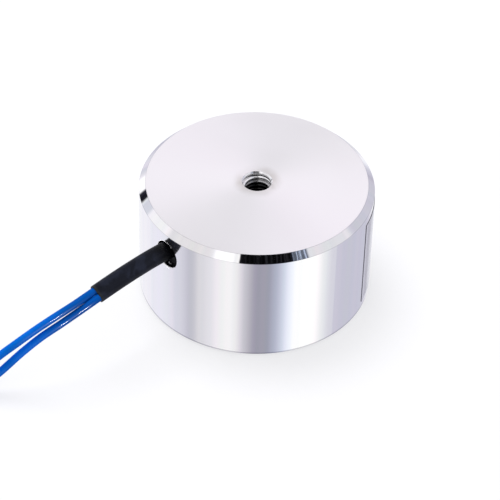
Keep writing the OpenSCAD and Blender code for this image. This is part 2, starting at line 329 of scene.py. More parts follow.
# %% Rings along the line
def ring_matrix(place, ahead, across, above, roll):
    turned = Matrix((across, above, ahead)).transposed().to_4x4()
    return Matrix.Translation(place) @ turned @ Matrix.Rotation(roll, 4, "Z")


bm = bmesh.new()
along = bm.verts.layers.float.new("along")
places = frames_along(sleeve_line)
ring = sleeve_ring(bm)
edges = bm.edges[:]
last = Matrix.Identity(4)
for i, place in enumerate(places):
    if i:
        grown = bmesh.ops.extrude_edge_only(bm, edges=edges)["geom"]
        ring = [g for g in grown if isinstance(g, bmesh.types.BMVert)]
        edges = [g for g in grown if isinstance(g, bmesh.types.BMEdge) and g.is_boundary]
    now = ring_matrix(*place, -PAIR_ROLL)
    bmesh.ops.transform(bm, matrix=now @ last.inverted(), verts=ring)
    last = now
    for v in ring:
        v[along] = i * SLEEVE_STEP / MM
bmesh.ops.recalc_face_normals(bm, faces=bm.faces)
print(len(places), "rings")

# %% From a bmesh to a piece, and the sleeve's wall
LIP_W = 0.08 * MM


def as_piece(bm, name, smooth=True):
    data = bpy.data.meshes.new(name)
    bm.to_mesh(data)
    bm.free()
    for face in data.polygons:
        face.use_smooth = smooth
    piece = bpy.data.objects.new(name, data)
    bpy.context.scene.collection.objects.link(piece)
    return piece


def thicken(piece, thickness, offset, lip_steps, lip_angle):
    wall = piece.modifiers.new("wall", "SOLIDIFY")
    wall.thickness, wall.offset = thickness, offset
    lip = piece.modifiers.new("lip", "BEVEL")
    lip.width, lip.segments, lip.angle_limit = LIP_W, lip_steps, math.radians(lip_angle)


sleeve = as_piece(bm, "shrink_sleeve_over_leads")
thicken(sleeve, SLEEVE_WALL, -1, 3, 50)
print(sleeve.name, len(sleeve.data.polygons), "faces before its wall")

# %% [markdown]
# ## The tie
# A soft strip holds the stored coil. Its loop starts as a circle whose quarters are moved apart into a
# rounded rectangle, and is extruded to the strip's width.

# %% Tie
TIE_ANGLE, TIE_T, TIE_W = math.radians(120), 0.35 * MM, 2.6 * MM
TIE_IN, TIE_OUT = 5.294 * MM, 12.15 * MM
TIE_LOW, TIE_HIGH = 0.35 * MM, 3.75 * MM
CORNER = 0.5 * MM
bm = bmesh.new()
for v in bmesh.ops.create_circle(bm, segments=48, radius=CORNER, cap_ends=False)["verts"]:
    v.co.x += math.copysign((TIE_OUT - TIE_IN) / 2 - CORNER, v.co.x)
    v.co.y += math.copysign((TIE_HIGH - TIE_LOW) / 2 - CORNER, v.co.y)
grown = bmesh.ops.extrude_edge_only(bm, edges=bm.edges[:])["geom"]
far_rim = [g for g in grown if isinstance(g, bmesh.types.BMVert)]
bmesh.ops.translate(bm, vec=(0, 0, TIE_W), verts=far_rim)
bmesh.ops.recalc_face_normals(bm, faces=bm.faces)
stand_up = Matrix.Rotation(math.pi / 2, 4, "X")
middle = Vector(((TIE_IN + TIE_OUT) / 2, TIE_W / 2, (TIE_LOW + TIE_HIGH) / 2))
on_table = Matrix.Translation(STORE_AT) @ Matrix.Rotation(TIE_ANGLE, 4, "Z")
place = on_table @ Matrix.Translation(middle) @ stand_up
bmesh.ops.transform(bm, matrix=place, verts=bm.verts)
tie = as_piece(bm, "stored_coil_tie")
thicken(tie, TIE_T, 1, 2, 40)
print(tie.name, "made")

# %% [markdown]
# ## The thread in the mounting hole
# The solid has a plain wall at the thread's major diameter. The thread's ridge is one small flat-topped
# triangle turned round the hole while it climbs, which is a screw: a spin with a step along its axis.
# The first turn was cut away by the countersink, so every point of the ridge that is inside a cone is
# pushed out to it.

# %% Thread ridge
MAJOR_R, MINOR_R, PITCH = 3.0 * MM, 2.46 * MM, 1.0 * MM
THREAD_LOW, THREAD_HIGH, PLAIN_Z = 17.1 * MM, 26.1 * MM, 26.05 * MM
RIDGE_HALF, CREST_HALF, SUNK_IN_WALL = 0.44, 0.07, 0.03 * MM
THREAD_STEPS = 48
turns = (THREAD_HIGH - THREAD_LOW) / PITCH
bm = bmesh.new()
half, crest, root_r = RIDGE_HALF * PITCH, CREST_HALF * PITCH, MAJOR_R + SUNK_IN_WALL
profile = [(root_r, -half), (MINOR_R, -crest), (MINOR_R, crest), (root_r, half)]
verts = [bm.verts.new((r, 0, THREAD_LOW + z)) for r, z in profile]
face = bm.faces.new(verts)
grown = bmesh.ops.spin(
    bm, geom=[face], cent=(0, 0, 0), axis=(0, 0, 1), angle=-2 * math.pi * turns,
    steps=round(THREAD_STEPS * turns), dvec=(0, 0, PITCH / THREAD_STEPS), use_duplicate=False,
)
for v in bm.verts:
    r, cone = math.hypot(v.co.x, v.co.y), root_r - (PLAIN_Z - v.co.z)
    if r < cone:
        v.co.x, v.co.y = v.co.x * cone / r, v.co.y * cone / r
bmesh.ops.recalc_face_normals(bm, faces=bm.faces)
thread = as_piece(bm, "mounting_hole_thread")
print(thread.name, len(thread.data.polygons), "faces")

# %% [markdown]
# ## A drop of resin in the exit
# When the hole is sealed round the sleeve, the resin sags and leaves a small round drop at the bottom.
# It is a flattened ball, half sunk in the seal, and its wet-looking skin catches one spot of light.

# %% Resin drop
DROP_R, DROP_SHAPE = 0.42 * MM, (1.25, 0.8, 0.9)
seal_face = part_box("exit_seal")[0].y
DROP_AT = (0.15 * MM, seal_face, EXIT_Z - 2.75 * MM)
bm = bmesh.new()
bmesh.ops.create_icosphere(bm, subdivisions=3, radius=DROP_R)
bmesh.ops.scale(bm, vec=DROP_SHAPE, verts=bm.verts)
bmesh.ops.translate(bm, vec=DROP_AT, verts=bm.verts)
drop = as_piece(bm, "exit_resin_drop")
print(drop.name, "sits on", round(seal_face / MM, 1), "mm")

# %% [markdown]
# ## The rounded edge of the lead exit
# Polishing before plating rounds the edge of the side hole a little, and such an edge always finds some
# light to show: a thin bright line. A ring inside the steel gives it: a small circle spun round the
# hole, whose outer quarter touches the wall and the bore, then bent to the round of the wall.

# %% Exit edge
EXIT_R, EDGE_R = 3.1 * MM, 0.3 * MM
bm = bmesh.new()
bmesh.ops.create_circle(bm, segments=20, radius=EDGE_R, cap_ends=False)
bmesh.ops.translate(bm, vec=(EXIT_R + EDGE_R, 0, 0), verts=bm.verts)
bmesh.ops.spin(
    bm, geom=bm.verts[:] + bm.edges[:], cent=(0, 0, 0), axis=(0, 1, 0), angle=2 * math.pi, steps=72,
    use_merge=True, use_duplicate=False,
)
bmesh.ops.translate(bm, vec=(0, WALL_Y + EDGE_R, EXIT_Z), verts=bm.verts)
for v in bm.verts:
    v.co.y += -WALL_Y - math.sqrt(WALL_Y**2 - v.co.x**2)
bmesh.ops.recalc_face_normals(bm, faces=bm.faces)
exit_edge = as_piece(bm, "exit_rounded_edge")
print(exit_edge.name, len(exit_edge.data.polygons), "faces")

# %% [markdown]
# ## Ride and replace
# Nothing moves on this magnet, so every piece rides on its one body, and the solids that the pieces
# replace are hidden. The leads run their whole length, from the soldered joint to the bare end.

# %% Riding pieces and cords
for piece in (*leads.values(), *strands.values(), sleeve, tie, thread, drop, exit_edge):
    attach(piece, BODY)
for side in ("a", "b"):
    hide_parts(f"lead_{side}_strands")
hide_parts("lead_a", "stored_lead_coil")
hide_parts("lead_b", "stored_lead_coil")
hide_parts("lead_sleeve")
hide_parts("coil_tie")
print("cords:", *(lead.name for lead in leads.values()))

# %% [markdown]
# ## Finishes
# Each finish is a Principled shader whose colour, roughness and bump come from patterns on Object
# coordinates, so a pattern stays on its piece from every side. A few small helpers keep the node
# building short: fill links or fills one socket, add makes a node, and calc, vector, blend, ranged and
# one_axis are the nodes used most. Then finish starts a material, feed gives its shader a value, and
# dress puts it on pieces.

# %% Node helpers
def fill(tree, socket, value):
    if isinstance(value, bpy.types.NodeSocket):
        tree.links.new(value, socket)
    elif socket.type == "RGBA":
        socket.default_value = (*value, 1)
    else:
        socket.default_value = value


def add(tree, kind, _out=0, **settings):
    node = tree.nodes.new(kind)
    sockets = settings.pop("sockets", {})
    for name, value in settings.items():
        setattr(node, name, value)
    for name, value in sockets.items():
        fill(tree, node.inputs[name], value)
    return node.outputs[_out]


def calc(tree, operation, a, b=0.0, c=0.0):
    return add(tree, "ShaderNodeMath", operation=operation, sockets={0: a, 1: b, 2: c})


def vector(tree, operation, a, b=(0, 0, 0), out=0, scale=1.0):
    return add(tree, "ShaderNodeVectorMath", out, operation=operation, sockets={0: a, 1: b, 3: scale})


def blend(tree, share, a, b, kind="MIX"):
    node = tree.nodes.new("ShaderNodeMix")
    node.data_type, node.blend_type = "RGBA", kind
    for i, value in ((0, share), (6, a), (7, b)):
        fill(tree, node.inputs[i], value)
    return node.outputs[2]


def ranged(tree, value, low, high, to_low=0.0, to_high=1.0):
    return add(tree, "ShaderNodeMapRange", interpolation_type="SMOOTHSTEP", sockets={
        "Value": value, "From Min": low, "From Max": high, "To Min": to_low, "To Max": to_high})


def one_axis(tree, place, i):
    return add(tree, "ShaderNodeSeparateXYZ", i, sockets={0: place})


# %% Material helpers
def finish(name, **settings):
    material = bpy.data.materials.new(name)
    material.use_nodes = True
    tree = material.node_tree
    shader = tree.nodes["Principled BSDF"]
    for label, value in settings.items():
        fill(tree, shader.inputs[label.replace("_", " ")], value)
    place = add(tree, "ShaderNodeTexCoord", 3)
    return material, tree, shader, place


def feed(shader, name, value):
    fill(shader.id_data, shader.inputs[name], value)


def dress(material, *pieces):
    for piece in pieces:
        piece.data.materials.clear()
        piece.data.materials.append(material)
    print(material.name, "on", *(piece.name for piece in pieces))


# %% [markdown]
# ## Two shared effects
# Almost every real surface is a little uneven, so most finishes here use the same two groups. The first
# gives a fine grain for the bump, the second a slow cloudiness for colour and roughness.

# %% Group: grain
def new_group(name, inputs, outputs):
    group = bpy.data.node_groups.new(name, "ShaderNodeTree")
    for label, kind, value in inputs:
        socket = group.interface.new_socket(label, in_out="INPUT", socket_type=kind)
        if value is not None:
            socket.default_value = value
    for label, kind in outputs:
        group.interface.new_socket(label, in_out="OUTPUT", socket_type=kind)
    return group, group.nodes.new("NodeGroupInput"), group.nodes.new("NodeGroupOutput")


FLOAT, VECTOR = "NodeSocketFloat", "NodeSocketVector"
grain, given, made = new_group(
    "grain", [("Place", VECTOR, None), ("Size", FLOAT, 0.001), ("Depth", FLOAT, 0.00001)],
    [("Normal", VECTOR), ("Value", FLOAT)])
per_metre = calc(grain, "DIVIDE", 1.0, given.outputs["Size"])
noise = add(grain, "ShaderNodeTexNoise", sockets={
    "Vector": given.outputs["Place"], "Scale": per_metre, "Detail": 3.0, "Roughness": 0.6})
bump = add(grain, "ShaderNodeBump", sockets={"Height": noise, "Distance": given.outputs["Depth"]})
grain.links.new(bump, made.inputs["Normal"])
grain.links.new(noise, made.inputs["Value"])
print("group", grain.name)

# %% Group: clouds
CLOUD_FROM, CLOUD_TO = 0.35, 0.65
clouds, given, made = new_group(
    "clouds",
    [("Place", VECTOR, None), ("Size", FLOAT, 0.02), ("Low", FLOAT, 0.0), ("High", FLOAT, 1.0)],
    [("Value", FLOAT)])
per_metre = calc(clouds, "DIVIDE", 1.0, given.outputs["Size"])
noise = add(clouds, "ShaderNodeTexNoise", sockets={
    "Vector": given.outputs["Place"], "Scale": per_metre, "Detail": 2.0, "Distortion": 0.4})
value = ranged(clouds, noise, CLOUD_FROM, CLOUD_TO, given.outputs["Low"], given.outputs["High"])
clouds.links.new(value, made.inputs["Value"])
print("group", clouds.name)


def use(tree, group, _out=0, **values):
    node = tree.nodes.new("ShaderNodeGroup")
    node.node_tree = group
    for name, value in values.items():
        fill(tree, node.inputs[name], value)
    return node.outputs[_out]


def cloud(tree, place, size, low, high):
    return use(tree, clouds, Place=place, Size=size, Low=low, High=high)


# %% [markdown]
# ## Bright nickel on turned steel
# A lathe leaves fine rings, and the plating over them is bright. Light is smeared across such rings: on
# the top face that gives soft sectors round the hole, and on the wall clean upright bands. One number,
# the radius less the height, runs across the rings on every turned face, and one noise along it draws
# them all. The tangent of the smear also runs across the rings, so it is worked out from the normal and
# the way round. Masks tell the faces apart, because the top is duller than the wall, the bevel is the
# brightest, and the plate round the hole is dull where the tools that cut the thread have rubbed it.

# %% Zones of the turned body
TOP_FACE_Z, FOOT_FACE_Z, BEVEL_ZONE_Z = 26.97 * MM, 0.03 * MM, 25.55 * MM
HOLE_ZONE_R, HOLE_ZONE_Z = 3.32 * MM, 10 * MM
MOUTH_LOW_Z, MOUTH_TOP_Z = 26.33 * MM, 26.7 * MM
EXIT_DARK_R, EXIT_SIDE_Y = 3.13 * MM, -20 * MM


def over(tree, value, limit):
    return calc(tree, "GREATER_THAN", value, limit)


def under(tree, value, limit):
    return calc(tree, "LESS_THAN", value, limit)


def both(tree, a, b):
    return calc(tree, "MULTIPLY", a, b)


def nickel_zones(tree, place):
    flat = vector(tree, "MULTIPLY", place, (1, 1, 0))
    radius = vector(tree, "LENGTH", flat, out=1)
    x, y, height = (one_axis(tree, place, i) for i in range(3))
    flat_end = calc(tree, "MAXIMUM", over(tree, height, TOP_FACE_Z), under(tree, height, FOOT_FACE_Z))
    bevel = both(tree, over(tree, height, BEVEL_ZONE_Z), calc(tree, "SUBTRACT", 1.0, flat_end))
    in_hole = both(tree, under(tree, radius, HOLE_ZONE_R), over(tree, height, HOLE_ZONE_Z))
    mouth_edge = both(tree, in_hole, over(tree, height, MOUTH_TOP_Z))
    mouth_wall = both(tree, in_hole, over(tree, height, MOUTH_LOW_Z))
    mouth_wall = calc(tree, "SUBTRACT", mouth_wall, mouth_edge)
    # in_exit is the bore of the side hole, whose colour gets a painted shade.
    above_exit = calc(tree, "SUBTRACT", height, EXIT_Z)
    from_exit_axis = calc(
        tree, "ADD", calc(tree, "POWER", above_exit, 2.0), calc(tree, "POWER", x, 2.0))
    in_exit = under(tree, calc(tree, "SQRT", from_exit_axis), EXIT_DARK_R)
    in_exit = both(tree, in_exit, under(tree, y, EXIT_SIDE_Y))
    return {"flat": flat, "radius": radius, "height": height, "flat_end": flat_end, "bevel": bevel,
            "in_hole": in_hole, "mouth_edge": mouth_edge, "mouth_wall": mouth_wall, "in_exit": in_exit}


# %% Nickel
WALL_ROUGH = 0.09
ROUGHER = {"flat_end": 0.24, "bevel": -0.055, "in_hole": 0.14, "mouth_wall": 0.4, "mouth_edge": 0.09}
RINGS_A_METRE, RING_DEPTH, MORE_ON_TOP = 3200.0, 0.0000002, 0.0000012
nickel, tree, shader, place = finish("plated_nickel", Metallic=1.0, Anisotropic=0.75)
zone = nickel_zones(tree, place)
normal = add(tree, "ShaderNodeNewGeometry", 1)
round_way = vector(tree, "CROSS_PRODUCT", (0, 0, 1), zone["flat"])
feed(shader, "Tangent", vector(tree, "CROSS_PRODUCT", normal, round_way))
across_rings = calc(tree, "SUBTRACT", zone["radius"], zone["height"])
rings = add(tree, "ShaderNodeTexNoise", noise_dimensions="1D", sockets={
    "W": across_rings, "Scale": RINGS_A_METRE, "Detail": 3.0, "Roughness": 0.65})
satin = WALL_ROUGH
for name, more in ROUGHER.items():
    satin = calc(tree, "MULTIPLY_ADD", zone[name], more, satin)
smudges = cloud(tree, place, size=0.02, low=-0.012, high=0.03)
feed(shader, "Roughness", calc(tree, "ADD", satin, smudges))
depth = calc(tree, "MULTIPLY_ADD", zone["flat_end"], MORE_ON_TOP, RING_DEPTH)
feed(shader, "Normal", add(tree, "ShaderNodeBump", sockets={"Height": rings, "Distance": depth}))
print("nickel on", nodes["housing"].name)

# %% Nickel's colour: the clean plate, the duller places, and painted shade and painted dark lines
CLEAN_PLATE, TOP_PLATE, DULL_PLATE = (0.90, 0.888, 0.902), (0.94, 0.908, 0.938), (0.58, 0.535, 0.51)
PAINTED_EDGE_LINE, FOOT_PAINTED_SHADE, EXIT_PAINTED_SHADE = (0.35, 0.34, 0.38), (0.52, 0.51, 0.55), (0.008, 0.008, 0.009)
BEVEL_LOW_Z, BEVEL_TOP_R, NEAR_TOP_Z = 25.6 * MM, 23.6 * MM, 25 * MM
HALO_OUTER_R, HALO_INNER_R = 5.8 * MM, 3.2 * MM
RIM_SOFT, RIM_FULL, RIM_SHARE = 0.12 * MM, 0.03 * MM, 0.28
FOOT_HIGH_Z, FOOT_FULL_Z, FOOT_EDGE_R = 0.85 * MM, 0.5 * MM, 24.5 * MM
THREAD_DARK_Z, THREAD_BRIGHT_Z, HOLE_SHADE_DARKEST = 24.1 * MM, 25.9 * MM, 0.03
near_top = over(tree, zone["height"], NEAR_TOP_Z)
halo = both(tree, ranged(tree, zone["radius"], HALO_OUTER_R, HALO_INNER_R), zone["flat_end"])
halo = both(tree, halo, cloud(tree, place, size=0.007, low=0.15, high=0.75))
halo = both(tree, halo, near_top)
plate = blend(tree, zone["flat_end"], CLEAN_PLATE, TOP_PLATE)
colour = blend(tree, halo, plate, DULL_PLATE)
# Painted reflection: a thin dark line at each edge of the bevel stands in for the dark reflection of the
# edge.
for way, edge in ((zone["height"], BEVEL_LOW_Z), (zone["radius"], BEVEL_TOP_R)):
    rim = calc(tree, "ABSOLUTE", calc(tree, "SUBTRACT", way, edge))
    line = both(tree, ranged(tree, rim, RIM_SOFT, RIM_FULL, 0.0, RIM_SHARE), near_top)
    colour = blend(tree, line, colour, PAINTED_EDGE_LINE)
# Painted shade: a darker band up from the table round the foot, standing in for the contact shadow
# there.
foot = ranged(tree, zone["height"], FOOT_HIGH_Z, FOOT_FULL_Z)
foot = both(tree, foot, over(tree, zone["radius"], FOOT_EDGE_R))
colour = blend(tree, foot, colour, FOOT_PAINTED_SHADE)
# Painted shade: the plate in the mounting hole and on its thread turns almost black the deeper it lies.
sunk = ranged(tree, zone["height"], THREAD_DARK_Z, THREAD_BRIGHT_Z, HOLE_SHADE_DARKEST, 1.0)
shaded_hole_plate = blend(tree, sunk, (0, 0, 0), CLEAN_PLATE)
colour = blend(tree, zone["in_hole"], colour, shaded_hole_plate)
# Painted shade: the bore of the side hole is painted almost black.
feed(shader, "Base Color", blend(tree, zone["in_exit"], colour, EXIT_PAINTED_SHADE))
dress(nickel, nodes["housing"], thread)

# %% [markdown]
# ## The brushed edge
# The rounded edge of the side hole was only brushed, so it is duller than the turned faces and has no
# rings.

# %% Brushed edge
WORN_PLATE = (0.80, 0.79, 0.80)
brushed, tree, shader, place = finish("brushed_edge", Metallic=1.0)
worn = cloud(tree, place, size=0.0015, low=0.0, high=1.0)
feed(shader, "Base Color", blend(tree, worn, WORN_PLATE, CLEAN_PLATE))
feed(shader, "Roughness", cloud(tree, place, size=0.002, low=0.42, high=0.6))
dress(brushed, exit_edge)

# %% [markdown]
# ## Vinyl on the leads
# Soft vinyl is a deep, clean blue under a thin shine, so a very thin clear coat over a duller body
# gives the fine streak of light that runs along each lead. Beside the sleeve the blue is painted
# darker, a painted shade that fades out further down the leads.

# %% Lead vinyl
DEEP_BLUE, CLEAR_BLUE, LEAD_SHADE_BLUE = (0.0, 0.137, 0.63), (0.001, 0.162, 0.79), (0.0, 0.072, 0.34)
LEAD_SHADE_FROM_Y, LEAD_SHADE_FULL_Y, LEAD_SHADE_SHARE = -60 * MM, -46 * MM, 0.85
vinyl, tree, shader, place = finish("blue_vinyl", Specular_IOR_Level=0.02, Coat_Roughness=0.08)
mottle = cloud(tree, place, size=0.006, low=0.0, high=1.0)
blue = blend(tree, mottle, DEEP_BLUE, CLEAR_BLUE)
# Painted shade: the blue is darker beside the sleeve.
lead_shade_near_sleeve = ranged(tree, one_axis(tree, place, 1), LEAD_SHADE_FROM_Y, LEAD_SHADE_FULL_Y, 0.0, LEAD_SHADE_SHARE)
feed(shader, "Base Color", blend(tree, lead_shade_near_sleeve, blue, LEAD_SHADE_BLUE))
feed(shader, "Roughness", cloud(tree, place, size=0.004, low=0.3, high=0.38))
feed(shader, "Coat Weight", cloud(tree, place, size=0.003, low=0.035, high=0.07))
feed(shader, "Normal", use(tree, grain, Place=place, Size=0.0025, Depth=0.000012))
dress(vinyl, *leads.values())

# %% [markdown]
# ## Shrunk sleeve
# Shrunk tubing is a satin near-black with faint creases along it, rubbed patches, and a paler lip where
# it was cut. The attribute that the sleeve's rings carry tells how far along it a point lies, in
# millimetres. The sleeve is darkest close to the wall, in the shade of the hole.

# %% Sleeve and tie finish
BLACK, SOFT_BLACK, RUBBED = (0.003, 0.004, 0.009), (0.007, 0.009, 0.017), (0.012, 0.015, 0.028)
SHADED, CUT_LIP = (0.001, 0.001, 0.001), (0.022, 0.024, 0.024)
LIP_FROM, LIP_TO = 20.2, 20.9
SHADE_FROM_Y, SHADE_FULL_Y, SHADE_SHARE = -30 * MM, -26 * MM, 0.8
CREASES_A_METRE = (2400, 160, 2400)
shrunk, tree, shader, place = finish("shrunk_black", Specular_IOR_Level=0.14)
far = add(tree, "ShaderNodeAttribute", 2, attribute_name="along")
lip_zone = ranged(tree, far, LIP_FROM, LIP_TO)
stretched = add(tree, "ShaderNodeMapping", sockets={"Vector": place, "Scale": CREASES_A_METRE})
creases = add(tree, "ShaderNodeTexNoise", sockets={"Vector": stretched, "Scale": 1.0, "Detail": 2.0})
speckle = use(tree, grain, 1, Place=place, Size=0.0003, Depth=0.00001)
body = blend(tree, speckle, BLACK, SOFT_BLACK)
body = blend(tree, cloud(tree, place, size=0.0024, low=-0.35, high=1.0), body, RUBBED)
in_shade = ranged(tree, one_axis(tree, place, 1), SHADE_FROM_Y, SHADE_FULL_Y, 0.0, SHADE_SHARE)
body = blend(tree, in_shade, body, SHADED)
feed(shader, "Base Color", blend(tree, lip_zone, body, CUT_LIP))
feed(shader, "Roughness", cloud(tree, place, size=0.003, low=0.34, high=0.46))
feed(shader, "Normal", add(tree, "ShaderNodeBump", sockets={
    "Height": creases, "Distance": 0.0001, "Strength": 0.9}))
dress(shrunk, sleeve, tie)

# %% [markdown]
# ## Label film
# The film is blank: a pale silvery plastic with a soft gloss and a plain grey band just inside its
# border. Its cut edge is painted dark, a painted shade line along the border. The near edge and a
# little of the band are what the view shows of it. The band is drawn where the distance to the nearest
# side is near one value, counted round the wall and up it.

# %% Label film, and where its cut edge is
FACE_FROM, FACE_TO = 0.75, 0.5
FILM_GREY, FILM_PALE, CUT_EDGE_PAINTED_SHADE = (0.62, 0.61, 0.69), (0.67, 0.66, 0.74), (0.10, 0.095, 0.13)
film, tree, shader, place = finish(
    "label_film", Specular_IOR_Level=0.5, Coat_Weight=0.8, Coat_Roughness=0.15)
outwards = vector(tree, "NORMALIZE", vector(tree, "MULTIPLY", place, (1, 1, 0)))
facing = add(tree, "ShaderNodeTexCoord", 1)
face_on = calc(tree, "ABSOLUTE", vector(tree, "DOT_PRODUCT", facing, outwards, out=1))
# Painted shade: the faces of the film that look sideways, its cut edges, are painted dark.
painted_edge_shade = ranged(tree, face_on, FACE_FROM, FACE_TO)
cloudy = cloud(tree, place, size=0.008, low=0.0, high=1.0)
paper = blend(tree, cloudy, FILM_GREY, FILM_PALE)
low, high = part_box("blank_label")
print("the film reaches", round(high.z / MM, 1), "mm up the wall")

# %% Label band, counted in from the border
BAND_MIDDLE, BAND_HALF, BAND_SOFT, BAND_TALLER = 2.2 * MM, 0.95 * MM, 0.15 * MM, 2.2
BAND_GREY = (0.40, 0.39, 0.46)
start, end = math.atan2(low.y, high.x), math.atan2(high.y, low.x)
x, y, z = (one_axis(tree, place, i) for i in range(3))
turned = calc(tree, "ARCTAN2", y, x)
from_start, from_end = calc(tree, "SUBTRACT", turned, start), calc(tree, "SUBTRACT", end, turned)
sides = calc(tree, "MULTIPLY", calc(tree, "MINIMUM", from_start, from_end), -WALL_Y)
from_low, from_high = calc(tree, "SUBTRACT", z, low.z), calc(tree, "SUBTRACT", high.z, z)
ends = calc(tree, "MULTIPLY", calc(tree, "MINIMUM", from_low, from_high), BAND_TALLER)
inset = calc(tree, "MINIMUM", sides, ends)
off_band = calc(tree, "ABSOLUTE", calc(tree, "SUBTRACT", inset, BAND_MIDDLE))
band = ranged(tree, off_band, BAND_HALF + BAND_SOFT, BAND_HALF)
paper = blend(tree, band, paper, BAND_GREY)
feed(shader, "Base Color", blend(tree, painted_edge_shade, paper, CUT_EDGE_PAINTED_SHADE))
feed(shader, "Roughness", cloud(tree, place, size=0.004, low=0.3, high=0.4))
feed(shader, "Normal", use(tree, grain, Place=place, Size=0.0008, Depth=0.000006))
dress(film, nodes["blank_label"])

# %% [markdown]
# ## The parts inside
# The same few lines make the plastics and metals of the hidden parts, each with its own colours,
# roughness and grain.

# %% Finishes of the inner parts
INNER = {
    "cast_resin": ((0.002, 0.002, 0.003), (0.006, 0.006, 0.007), 0.0, (0.12, 0.24), 0.004, 0.00012,
                   ("potting_resin",)),
    "moulded_nylon": ((0.60, 0.55, 0.42), (0.68, 0.63, 0.50), 0.0, (0.42, 0.55), 0.0006, 0.00001,
                      ("coil_bobbin",)),
    "enamelled_copper": ((0.55, 0.20, 0.07), (0.66, 0.27, 0.10), 1.0, (0.29, 0.38), 0.0012, 0.00001,
                         ("coil_winding", "coil_start_tail", "coil_finish_tail")),
    "amber_tape": ((0.52, 0.28, 0.03), (0.60, 0.34, 0.05), 0.0, (0.14, 0.25), 0.002, 0.00002,
                   ("winding_tape",)),
    "tinned_solder": ((0.58, 0.58, 0.56), (0.70, 0.70, 0.69), 1.0, (0.29, 0.42), 0.0007, 0.00003,
                      ("solder_joint_a", "solder_joint_b")),
    "shrink_film": ((0.02, 0.025, 0.025), (0.035, 0.04, 0.04), 0.0, (0.35, 0.5), 0.0008, 0.00002,
                    ("joint_sleeve_a", "joint_sleeve_b")),
}
for name, (dark, light, metallic, rough, size, depth, wearers) in INNER.items():
    material, tree, shader, place = finish(name, Metallic=metallic)
    mottle = cloud(tree, place, size=size * 3, low=0.0, high=1.0)
    feed(shader, "Base Color", blend(tree, mottle, dark, light))
    feed(shader, "Roughness", cloud(tree, place, size=size * 2, low=rough[0], high=rough[1]))
    feed(shader, "Normal", use(tree, grain, Place=place, Size=size, Depth=depth))
    dress(material, *(nodes[n] for n in wearers))
    if name == "tinned_solder":
        dress(material, *strands.values())
print("finishes:", [m.name for m in bpy.data.materials])

# %% [markdown]
# ## The resin in the lead exit
# The sleeve is sealed into its hole with a drop of the same black resin. It sits in shade, so it is
# nearly black, and only its wet-looking skin catches a spot of light, which a thin, uneven clear coat
# gives.

# %% Seal in the exit
RESIN_BLACK, SEAL_GREY, DROP_GREY = (0.002, 0.002, 0.003), (0.005, 0.005, 0.006), (0.006, 0.006, 0.007)
seal, tree, shader, place = finish(
    "exit_resin", Specular_IOR_Level=0.02, Roughness=0.2, Coat_Roughness=0.05)
speckle = cloud(tree, place, size=0.002, low=0.0, high=1.0)
feed(shader, "Base Color", blend(tree, speckle, RESIN_BLACK, SEAL_GREY))
feed(shader, "Coat Weight", cloud(tree, place, size=0.0012, low=0.0, high=0.03))
feed(shader, "Normal", use(tree, grain, Place=place, Size=0.0022, Depth=0.0004))
dress(seal, nodes["exit_seal"])
wet, tree, shader, place = finish(
    "wet_resin", Specular_IOR_Level=1.0, Coat_Weight=1.0, Coat_Roughness=0.06)
speckle = cloud(tree, place, size=0.001, low=0.0, high=1.0)
feed(shader, "Base Color", blend(tree, speckle, RESIN_BLACK, DROP_GREY))
feed(shader, "Roughness", cloud(tree, place, size=0.0006, low=0.04, high=0.12))
dress(wet, drop)
print("seal in", nodes["exit_seal"].name, "with", drop.name)

# %% [markdown]
# ## Floor
# The magnet stands on a plain pale table. The camera sees the table as almost white paper that still
# takes a faint shadow, and bright metal sees the studio instead of it.

# %% Floor
TABLE_HALF, TABLE_PALE, GLOW_SHARE = 3, (0.93, 0.93, 0.97), 0.6
bm = bmesh.new()
bmesh.ops.create_grid(bm, x_segments=1, y_segments=1, size=TABLE_HALF)
floor = as_piece(bm, "floor", smooth=False)
table, tree, shader, place = finish("pale_table", Base_Color=TABLE_PALE, Specular_IOR_Level=0.1)
feed(shader, "Roughness", cloud(tree, place, size=0.3, low=0.86, high=0.88))
glow = add(tree, "ShaderNodeEmission", sockets={"Color": (1, 1, 1), "Strength": 1.0})
glowing = add(tree, "ShaderNodeMixShader", sockets={0: GLOW_SHARE, 1: shader.outputs[0], 2: glow})
camera_sees = add(tree, "ShaderNodeLightPath", 0)
shown = add(tree, "ShaderNodeMixShader", sockets={0: camera_sees, 1: shader.outputs[0], 2: glowing})
tree.links.new(shown, tree.nodes["Material Output"].inputs["Surface"])
dress(table, floor)
floor.visible_glossy = False
floor.visible_diffuse = False

# %% [markdown]
# ## The studio
# Polished metal shows what stands round it, so the light is planned like a photographer's: white drapes
# on all sides, a little uneven and tinted, with grey, black and brighter cards before them. A card is a
# soft-edged patch of direction. Its mask is one group, and the world mixes the cards over the drapes
# for the rays that bounce off gloss. The darkest cards have some clutter on them, because a real dark
# corner is never even. The camera sees plain white, and every other ray gets a soft light that is a
# little weaker from below.

# %% Group: card
card, given, made = new_group(
    "card",
    [("Direction", VECTOR, None), ("Toward", VECTOR, None), ("Half", FLOAT, 10.0),
     ("Edge", FLOAT, 5.0), ("Low", FLOAT, -90.0), ("High", FLOAT, 90.0), ("Fade", FLOAT, 2.0)],
    [("Mask", FLOAT)])
way_out, toward, half, edge, low, high, fade = (given.outputs[i] for i in range(7))
way = vector(card, "NORMALIZE", vector(card, "MULTIPLY", way_out, (1, 1, 0)))
off = calc(card, "ARCCOSINE", vector(card, "DOT_PRODUCT", way, toward, out=1))
off = calc(card, "DEGREES", off)
sides = ranged(card, off, calc(card, "ADD", half, edge), half)
rise = calc(card, "DEGREES", calc(card, "ARCSINE", one_axis(card, way_out, 2)))
above = ranged(card, rise, calc(card, "SUBTRACT", low, fade), low)
below = ranged(card, rise, calc(card, "ADD", high, fade), high)
mask = both(card, sides, both(card, above, below))
card.links.new(mask, made.inputs["Mask"])
print("group", card.name)

